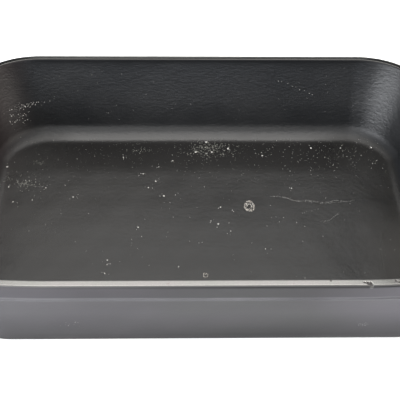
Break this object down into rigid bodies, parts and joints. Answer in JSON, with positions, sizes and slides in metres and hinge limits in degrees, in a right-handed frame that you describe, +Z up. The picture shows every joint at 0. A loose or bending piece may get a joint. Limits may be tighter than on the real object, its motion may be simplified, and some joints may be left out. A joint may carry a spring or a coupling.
{
  "type": "rectangular cast iron skillet",
  "caption": "Deep rectangular enamelled cast iron skillet with rounded corners, flared walls, a ground bare rim and a drop-ring handle at each end.",
  "frame": {"origin": "centre of the foot ring's face, on the surface that the pan stands on", "axes": "+X along the pan's length from the left handle to the right one, +Y across its width away from the front, +Z up"},
  "size_m": [0.359, 0.2312, 0.062],
  "materials": {
    "bare_iron": "ground bare metal",
    "black_enamel": "satin, fine orange peel",
    "grey_enamel": "smooth satin",
    "handle_steel": "brushed along the bar",
    "strap_steel": "pressed sheet, satin",
    "screw_steel": "plain turned steel",
    "gasket": "matt pressed fibre sheet"
  },
  "bodies": {
    "pan": {"pan_body": "bare_iron", "interior_enamel": "black_enamel", "exterior_enamel": "grey_enamel", "underside_enamel": "grey_enamel", "left_handle_gasket": "gasket", "left_handle_strap": "strap_steel", "left_strap_screws": "screw_steel", "left_strap_washers": "screw_steel", "right_handle_gasket": "gasket", "right_handle_strap": "strap_steel", "right_strap_screws": "screw_steel", "right_strap_washers": "screw_steel"},
    "left_ring": {"left_handle_ring": "handle_steel"},
    "right_ring": {"right_handle_ring": "handle_steel"}
  },
  "joints": [
    {"name": "left_ring_swing", "type": "hinge", "parent": "pan", "child": "left_ring", "pos_m": [-0.1731, 0, 0.045], "axis": [0, 1, 0], "range_deg": [-24, 93]},
    {"name": "right_ring_swing", "type": "hinge", "parent": "pan", "child": "right_ring", "pos_m": [0.1731, 0, 0.045], "axis": [0, -1, 0], "range_deg": [-24, 93]}
  ]
}
